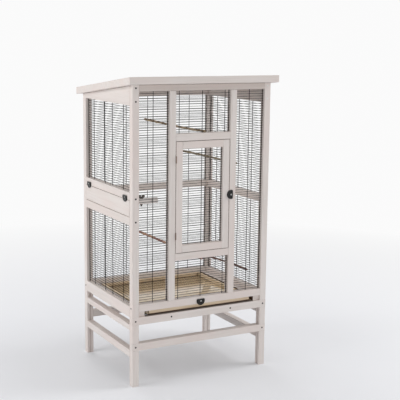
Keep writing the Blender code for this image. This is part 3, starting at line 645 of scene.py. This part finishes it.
def branch_surface(name, seed, steps=90, sides=18):
    """A branch: rings on its centre line, whose radius swells in lumps and at knots, follows a
    few waves round the branch, and is whittled over the last few millimetres. Side, up and line
    are a left-handed set, so each ring is taken backwards for its faces to point outwards."""
    kit = settings("branch")
    line, width = measured_branch(name)
    chance = np.random.default_rng(seed)
    part = np.linspace(0, 1, steps)
    centre = np.stack([np.polyval(line[:, axis], part) for axis in range(3)], -1)
    tangent = np.gradient(centre, axis=0)
    tangent /= np.linalg.norm(tangent, axis=1)[:, None]
    side = np.cross(tangent, Z)
    side /= np.linalg.norm(side, axis=1)[:, None]
    up = np.cross(side, tangent)
    angle = np.arange(sides) * math.tau / sides
    radius = np.polyval(width, part)
    length_m = np.linalg.norm(np.diff(centre, axis=0), axis=1).sum()
    from_end = np.minimum(part, 1 - part) * length_m
    whittled, knot = 0.006, 0.006
    radius = radius * (0.78 + 0.22 * np.clip(from_end / whittled, 0, 1))
    lumps = np.zeros((steps, sides))
    for wave in range(1, 5):
        phase = chance.uniform(0, math.tau, 2)
        along = chance.uniform(4, 16)
        lumps += np.sin(wave * angle[None, :] + phase[0] + along * math.tau * part[:, None] / 2) / wave
    for place in chance.uniform(0.12, 0.9, 3):
        bulge = np.exp(-(((part - place) * length_m / knot) ** 2))
        lean = 0.6 + 0.4 * np.cos(angle - chance.uniform(0, math.tau))
        lumps += 2.2 * bulge[:, None] * lean[None, :]
    reach = radius[:, None] * (1 + kit.lump * lumps / 2)
    around = np.cos(angle)[None, :, None] * side[:, None, :]
    around = around + np.sin(angle)[None, :, None] * up[:, None, :]
    points = centre[:, None, :] + reach[:, :, None] * around
    return [(points[:, ::-1].reshape(-1, 3), closed_faces(steps, sides))]


def screw_heads(places, out):
    """Countersunk heads: rings whose height follows a shallow dome, less a cross-shaped recess
    where a point lies within the driver's width of either arm."""
    kit = settings("hardware")
    side = np.cross(out, Z)
    up = np.cross(out, side)
    sides = 24
    shares = np.array((1.0, 1.0, 0.93, 0.80, 0.62, 0.46, 0.34, 0.22, 0.10))
    radii = shares * kit.head_radius
    dome = kit.head_rise * (1 - 0.6 * shares**2)
    dome[0] = -kit.head_rise
    angle = np.arange(sides) * math.tau / sides
    across = radii[:, None] * np.cos(angle)
    along = radii[:, None] * np.sin(angle)
    arm = kit.head_radius * 0.58
    width = kit.head_radius * 0.16
    in_cross = np.minimum(np.abs(across), np.abs(along)) < width
    in_cross &= np.maximum(np.abs(across), np.abs(along)) < arm
    height = dome[:, None] - np.where(in_cross, kit.head_rise * 0.55, 0)
    shape = across[..., None] * side + along[..., None] * up + height[..., None] * out
    shape = shape.reshape(-1, 3)
    return [(np.array(place) + shape, closed_faces(len(radii), sides)) for place in places]


def button_surface(centre, flat, out, radius, flat_reach, thickness):
    """A turn button: a disc cut by a straight edge, its corners rounded by a soft minimum of the
    disc and the edge. Rings of that outline shrink and rise along the profile (share, height):
    the side, a rounded rim, a shallow dish and a boss with a countersink for the screw."""
    across = np.cross(flat, out)
    sides = 72
    angle = np.arange(sides) * math.tau / sides
    tight = 1400.0
    reach = radius * np.sin(angle)
    reach = -np.log(np.exp(-tight * reach) + math.exp(-tight * flat_reach)) / tight
    outline = radius * np.cos(angle)[:, None] * across + reach[:, None] * flat
    profile = np.array([
        (0.97, 0.00), (1.00, 0.05), (1.00, 0.55), (0.985, 0.75), (0.95, 0.90), (0.90, 0.98),
        (0.84, 1.00), (0.78, 0.97), (0.72, 0.86), (0.66, 0.80), (0.46, 0.78), (0.40, 0.82),
        (0.36, 0.95), (0.33, 1.02), (0.27, 1.02), (0.23, 0.96), (0.14, 0.60), (0.05, 0.58),
    ])
    shares, heights = profile.T
    points = shares[:, None, None] * outline + (heights * thickness)[:, None, None] * out
    return [(np.array(centre) + points.reshape(-1, 3), closed_faces(len(profile), sides))]


class AVIARY_OT_timber(bpy.types.Operator):
    """Whitewash every timber, with the grain along it"""

    bl_idname = "aviary.timber"
    bl_label = "Finish the timber"

    def execute(self, context):
        names = [name for name in sorted(NODES) if SLOTS[name] == "painted_wood"]
        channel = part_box("tray")[1].x + settings("tray").channel
        for index, name in enumerate(names):
            shift = (3.1 * index, 7.7 * index, 5.3 * index)
            slide = name == "front_drawer_rail"
            # The runners and the drawer rail's top take the painted shade of the slot.
            inner = channel if slide or name.endswith("runner") else 0.0
            # The front top rail takes the roof's painted shadow.
            roof_shadow = settings("timber").roof_shadow_share if name == "front_top_rail" else 0.0
            dress(name, whitewash(f"whitewash_{name}", longest_axis(name), shift, inner, slide, roof_shadow))
        return {"FINISHED"}


class AVIARY_OT_wire(bpy.types.Operator):
    """Make every panel of welded mesh from round wires"""

    bl_idname = "aviary.wire"
    bl_label = "Weave the mesh"

    def execute(self, context):
        kit = settings("wire")
        surface = speckled("coated_wire", kit.steel, 0.5, grit=0.002, gloss=0.25)
        for name in sorted(NODES):
            if SLOTS[name] == "mesh_steel":
                body = NODES[name]["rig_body"]
                parts = mesh_wires(name)
                make_piece(name.replace("mesh", "wires"), parts, body, surface, [name])
        return {"FINISHED"}


class AVIARY_OT_tray(bpy.types.Operator):
    """Build the drawer from wooden strips on a glossy board"""

    bl_idname = "aviary.tray"
    bl_label = "Build the drawer"

    def execute(self, context):
        kit = settings("tray")
        low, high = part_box("tray")
        seam = low.z + kit.board
        seam_angle = math.asin(kit.board / kit.corner - 1)
        board = self.rounded(kit, high.x, low.z, -math.pi / 2, seam_angle)
        outline = board[::-1] + [(-x, z) for x, z in board]
        parts = drawn_out(outline, low.y, high.y, kit.joint)
        surface = hardboard("hardboard")
        make_piece("tray_board", parts, "tray", surface, ["tray"], sharp=60)
        inner = high.x - kit.side
        arc = self.rounded(kit, high.x, low.z, seam_angle, 0.0)
        ease = kit.ease
        side = [(x, z + kit.joint) for x, z in arc]
        side += [(high.x, high.z - ease), (high.x - ease, high.z)]
        side += [(inner + ease, high.z), (inner, high.z - ease), (inner, seam + kit.joint)]
        start = low.y + kit.recess
        parts = drawn_out(side[::-1], start, high.y, ease)
        parts += drawn_out([(-x, z) for x, z in side], start, high.y, ease)
        surface = bare_wood("strip_along_side", 1, (2.0, 1.0, 4.0))
        make_piece("tray_side_strips", parts, "tray", surface, ["tray"], sharp=60)
        reach = inner - kit.joint
        parts = []
        for start in (low.y, high.y - kit.end):
            first = (-reach, start, seam + kit.joint)
            parts += eased_bar(first, (reach, start + kit.end, high.z), ease)
        surface = bare_wood("strip_across", 0, (5.0, 3.0, 1.0))
        make_piece("tray_end_strips", parts, "tray", surface, ["tray"], sharp=60)
        self.lay_pads(kit, low, high)
        return {"FINISHED"}

    @staticmethod
    def lay_pads(kit, low, high):
        """A dark pad at each side, between the drawer rail and the lip that the drawer slides on, partly a
        stained pad and partly painted shade in the slot's corners.
        """
        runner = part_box("tray_right_runner")[0]
        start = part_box("front_drawer_rail")[1].y + kit.slack
        near, far = runner.x + kit.slack, high.x + kit.channel - 2 * kit.slack
        bottom, top = runner.z + kit.slack / 2, low.z - kit.slack
        parts = eased_bar((near, start, bottom), (far, start + kit.pad, top), kit.slack)
        parts += eased_bar((-far, start, bottom), (-near, start + kit.pad, top), kit.slack)
        # The pads' dark stands in partly for the shade in the slot's corners.
        surface = speckled("pad", settings("timber").end_grain, 0.8, gloss=0.2)
        make_piece("slide_pads", parts, "frame", surface)

    @staticmethod
    def rounded(kit, side, bottom, start, stop):
        """Points on the quarter circle at the drawer's lower right edge, between two angles."""
        angle = np.linspace(start, stop, 6)
        across = side - kit.corner + kit.corner * np.cos(angle)
        up = bottom + kit.corner + kit.corner * np.sin(angle)
        return list(zip(across, up))


class AVIARY_OT_perches(bpy.types.Operator):
    """Make the four perches as branches with lumps and bark"""

    bl_idname = "aviary.perches"
    bl_label = "Grow the perches"

    def execute(self, context):
        kit = settings("branch")
        for seed, place in enumerate(("top", "middle", "left", "right"), 11):
            light, dark = (tuple(getattr(kit, f"{place}_{tone}")) for tone in ("light", "dark"))
            surface = bark_material(f"bark_{place}", 1, (seed, 2 * seed, 3 * seed), light, dark)
            parts = branch_surface(f"{place}_perch", seed)
            perch = [f"{place}_perch"]
            make_piece(f"{place}_branch", parts, "frame", surface, perch, sharp=70)
        return {"FINISHED"}


class AVIARY_OT_buttons(bpy.types.Operator):
    """Make the four turn buttons and the screws that they turn on"""

    bl_idname = "aviary.buttons"
    bl_label = "Mould the turn buttons"

    def execute(self, context):
        kit = settings("hardware")
        surface = speckled("black_moulding", kit.black, 0.20, grit=0.0008, bump_height=0.00003, gloss=0.35)
        plated = speckled("plated_screw", kit.bright, 0.28, metallic=0.9)
        for name in sorted(name for name in NODES if SLOTS[name] == "button_plastic"):
            low, high = (np.array(corner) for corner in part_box(name))
            pivot = np.array(JOINTS[name]["pos_m"])
            out = -np.abs(np.array(JOINTS[name]["axis"], float))
            thickness = abs((high - low) @ out)
            faces = {1: high - pivot, -1: pivot - low}
            in_plane = [axis for axis in range(3) if not out[axis]]
            reaches = [(faces[sign][axis], sign, axis) for sign in (1, -1) for axis in in_plane]
            flat_reach, sign, axis = min(reaches)
            radius = max(reaches)[0]
            flat = sign * np.eye(3)[axis]
            back = pivot - out * thickness / 2
            parts = button_surface(back, flat, out, radius, flat_reach, thickness)
            make_piece(f"{name}_moulding", parts, name, surface, [name], sharp=30)
            head = screw_heads([back + out * thickness * 0.86], out)
            make_piece(f"{name}_screw", head, "frame", plated)
        return {"FINISHED"}


class AVIARY_OT_hardware(bpy.types.Operator):
    """Plate the hinges, drive the screws into the posts and bolt the feeder bar"""

    bl_idname = "aviary.hardware"
    bl_label = "Fit the hardware"

    def execute(self, context):
        kit = settings("hardware")
        plating = speckled("hinge_plating", kit.hinge, 0.34, metallic=0.75)
        for name in sorted(name for name in NODES if SLOTS[name] == "hinge_steel"):
            dress(name, plating)
        black = speckled("black_screw", kit.screw, 0.5, gloss=0.15)
        filler = speckled("filler", kit.plug, 0.6, gloss=0.3)
        front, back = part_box("front_left_post")[0].y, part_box("back_left_post")[1].y
        outer, inner = (edge.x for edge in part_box("front_left_post"))
        left = (outer + inner) / 2
        lapped = [self.middle("front_drawer_rail"), self.middle("front_stretcher")]
        places = [(left, front, height) for height in self.rail_heights("left") + lapped]
        places += [(-left, front, height) for height in lapped]
        stile = sum(edge.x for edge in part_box("front_right_stile")) / 2
        places += [(across, front, lapped[0]) for across in (-stile, stile)]
        make_piece("front_screws", screw_heads(places, -Y), "frame", black)
        places = [(-left, front, height) for height in self.rail_heights("right")]
        make_piece("front_filled_screws", screw_heads(places, -Y), "frame", filler)
        places = [(left, back, height) for height in self.rail_heights("left", "back")]
        places += [(-left, back, height) for height in self.rail_heights("right", "back")]
        make_piece("back_screws", screw_heads(places, Y), "frame", black)
        for sign, side in ((-1, "left"), (1, "right")):
            places = []
            for wall in ("front", "back"):
                along = sum(edge.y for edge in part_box(f"{wall}_{side}_post")) / 2
                places.append((sign * abs(outer), along, self.middle(f"{wall}_floor_rail")))
            make_piece(f"{side}_screws", screw_heads(places, sign * X), "frame", black)
        self.bolt_feeder_bar(speckled("dark_plating", kit.bolt, 0.35, metallic=0.8))
        return {"FINISHED"}

    @staticmethod
    def middle(name):
        """Height of the middle of a rail."""
        low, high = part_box(name)
        return (low.z + high.z) / 2

    def rail_heights(self, wall, end="front"):
        """Heights of the screws into the ends of one side wall's rails. Its top board takes two at
        the front, where it is deep, and one at the back, where the roof comes down."""
        kit = settings("hardware")
        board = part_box(f"{wall}_top_board")
        heights = [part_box(f"{end}_{wall}_post")[1].z - kit.board_screw_high]
        if end == "front":
            heights = [board[0].z + kit.board_screw_low, board[1].z - kit.board_screw_high]
        rails = [name for name in sorted(NODES) if name.startswith(wall) and name.endswith("mid_rail")]
        heights += [self.middle(name) for name in rails if "upper" not in name]
        return heights + [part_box(name)[0].z + kit.hatch_screw for name in rails if "upper" in name]

    def bolt_feeder_bar(self, surface):
        """A wing screw down through the bar, with a nut and its tip below. Turned solids: a
        stepped hub, two pressed wings that are dished discs on edge, a threaded shank and a nut."""
        kit = settings("hardware")
        low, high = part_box("feeder_bar")
        middle = np.array(((low.x + kit.bolt_along), (low.y + high.y) / 2, high.z))
        size = kit.bolt_radius
        hub = [(1.9, 0), (2.0, 0.1), (2.0, 0.4), (1.7, 0.7)]
        hub += [(1.5, 1.8), (1.4, 2.1), (1.1, 2.2), (0.1, 2.2)]
        hub = [(radius * size, height * size) for radius, height in hub]
        parts = turned([middle], (X, Y, Z), hub, 20)
        dish = [(0.1, -0.15), (1.2, -0.15), (1.8, -0.5), (2.2, -0.45), (2.3, 0.0)]
        dish = [(radius * size, height * size) for radius, height in dish]
        dish += [(radius, -height) for radius, height in dish[-2::-1]]
        wings = [middle + np.array((sign * 2.6 * size, 0, 2.7 * size)) for sign in (-1, 1)]
        parts += turned(wings, (Z, X, Y), dish, 28)
        pitch = 0.3 * size
        bottom = low.z - kit.bolt_tip - high.z
        turns = int((0.2 * size - bottom) / pitch)
        thread = [(size * (0.9 + 0.1 * (turn % 2)), bottom + turn * pitch) for turn in range(turns + 1)]
        parts += turned([middle], (X, Y, Z), [(0.7 * size, bottom - pitch), *thread], 16)
        nut = [(1.5, -1.6), (1.75, -1.5), (1.75, -0.1), (1.5, 0.0)]
        nut = [(radius * size, height * size) for radius, height in nut]
        parts += turned([middle - np.array((0, 0, high.z - low.z))], (X, Y, Z), nut, 6)
        make_piece("feeder_wing_screw", parts, "frame", surface, sharp=35)


class AVIARY_OT_stage(bpy.types.Operator):
    """Lay a pale floor, hang the lamps and set the camera"""

    bl_idname = "aviary.stage"
    bl_label = "Set the stage"

    def execute(self, context):
        kit = settings("stage")
        self.lay_floor(kit)
        self.hang_lamps(kit, context.scene)
        self.set_camera(kit, context.scene)
        context.scene.view_settings.view_transform = "Standard"
        return {"FINISHED"}

    def lay_floor(self, kit):
        """A disc, made of rings, that fades into a white background far from the aviary."""
        rings, sides = 12, 64
        radii = kit.floor_radius * np.linspace(0.02, 1, rings) ** 1.5
        angle = np.arange(sides) * math.tau / sides
        across = radii[:, None] * np.cos(angle)
        along = radii[:, None] * np.sin(angle)
        points = np.stack([across, along, np.zeros_like(across)], -1).reshape(-1, 3)
        faces = grid_faces(rings, sides)[:, ::-1].tolist() + [list(range(sides))]
        mesh = bpy.data.meshes.new("floor")
        mesh.from_pydata(points.tolist(), [], faces)
        mesh.materials.append(self.floor_material(kit))
        floor = bpy.data.objects.new("floor", mesh)
        bpy.context.scene.collection.objects.link(floor)

    def floor_material(self, kit):
        """Pale floor that takes shadow, and is plain white to the camera and to gloss far away."""
        surface, tree, shader = principled("pale_floor")
        place = node(tree, "TexCoord").outputs["Object"]
        distance = node(tree, "VectorMath", {0: place}, operation="LENGTH").outputs["Value"]
        noise = node(tree, "TexNoise", {"Vector": place, "Scale": 9.0, "Detail": 4.0}).outputs["Fac"]
        tone = tuple(0.985 * part for part in kit.floor)
        tree.links.new(mix(tree, noise, kit.floor, tone), shader.inputs["Base Color"])
        shader.inputs["Roughness"].default_value = 0.9
        path = node(tree, "LightPath").outputs
        seen = math_node(tree, "MAXIMUM", path["Is Camera Ray"], path["Is Glossy Ray"])
        seen = math_node(tree, "MAXIMUM", seen, path["Is Transmission Ray"])
        far = spread(tree, distance, *FLOOR_FADE, kit.floor_lift, 1.0)
        share = math_node(tree, "MULTIPLY", seen, far)
        white = node(tree, "Emission", {"Color": (1, 1, 1, 1), "Strength": WHITE}).outputs["Emission"]
        both = node(tree, "MixShader", {0: share, 1: shader.outputs["BSDF"], 2: white})
        tree.links.new(both.outputs["Shader"], tree.nodes["Material Output"].inputs["Surface"])
        return surface

    def hang_lamps(self, kit, scene):
        """Four large soft lamps round the aviary, and even light all round."""
        for name, place, size, share in LAMPS:
            lamp = bpy.data.lights.new(name, "AREA")
            lamp.size = size
            lamp.energy = kit.lamp * share
            hung = bpy.data.objects.new(name, lamp)
            hung.location = place
            hung.rotation_euler = (LAMP_AIM - Vector(place)).to_track_quat("-Z", "Y").to_euler()
            hung.visible_glossy = False
            scene.collection.objects.link(hung)
        world = bpy.data.worlds.new("studio")
        world.use_nodes = True
        scene.world = world
        tree = world.node_tree
        path = node(tree, "LightPath").outputs
        seen = math_node(tree, "MAXIMUM", path["Is Camera Ray"], path["Is Glossy Ray"])
        strength = spread(tree, seen, 0.0, 1.0, kit.fill, WHITE)
        light = tree.nodes["Background"]
        light.inputs["Color"].default_value = (1, 1, 1, 1)
        tree.links.new(strength, light.inputs["Strength"])

    def set_camera(self, kit, scene):
        """A camera that looks along its azimuth and tilt, then rolls about that line."""
        turn, tilt, roll = (math.radians(angle) for angle in (kit.azimuth, kit.tilt, kit.roll))
        level = Vector((math.sin(turn), math.cos(turn), 0))
        ahead = level * math.cos(tilt) - Vector((0, 0, math.sin(tilt)))
        right = Vector((math.cos(turn), -math.sin(turn), 0))
        up = right.cross(ahead)
        rolled_right = right * math.cos(roll) + up * math.sin(roll)
        rolled_up = up * math.cos(roll) - right * math.sin(roll)
        eye = bpy.data.cameras.new("camera")
        eye.lens = kit.focal
        camera = bpy.data.objects.new("camera", eye)
        axes = Matrix((rolled_right, rolled_up, -ahead)).transposed()
        camera.matrix_world = Matrix.Translation(kit.place) @ axes.to_4x4()
        scene.collection.objects.link(camera)
        scene.camera = camera


STEPS = (
    AVIARY_OT_timber,
    AVIARY_OT_wire,
    AVIARY_OT_tray,
    AVIARY_OT_perches,
    AVIARY_OT_buttons,
    AVIARY_OT_hardware,
    AVIARY_OT_stage,
)


class AVIARY_PT_panel(bpy.types.Panel):
    """Lists the steps that finish the aviary"""

    bl_label = "Aviary"
    bl_space_type = "VIEW_3D"
    bl_region_type = "UI"
    bl_category = "Aviary"

    def draw(self, context):
        for step in STEPS:
            self.layout.operator(step.bl_idname)


GROUPS = {
    "aviary_timber": TimberSettings,
    "aviary_wire": WireSettings,
    "aviary_tray": TraySettings,
    "aviary_branch": BranchSettings,
    "aviary_hardware": HardwareSettings,
    "aviary_stage": StageSettings,
}


def register():
    """Register the settings, the steps and the panel."""
    for name, group in GROUPS.items():
        bpy.utils.register_class(group)
        setattr(bpy.types.Scene, name, PointerProperty(type=group))
    for step in (*STEPS, AVIARY_PT_panel):
        bpy.utils.register_class(step)


def unregister():
    """Take everything that register added away again."""
    for step in (*STEPS, AVIARY_PT_panel):
        bpy.utils.unregister_class(step)
    for name, group in GROUPS.items():
        delattr(bpy.types.Scene, name)
        bpy.utils.unregister_class(group)


def main():
    """Run every step."""
    register()
    bpy.ops.aviary.timber()
    bpy.ops.aviary.wire()
    bpy.ops.aviary.tray()
    bpy.ops.aviary.perches()
    bpy.ops.aviary.buttons()
    bpy.ops.aviary.hardware()
    bpy.ops.aviary.stage()


if __name__ == "__main__":
    main()
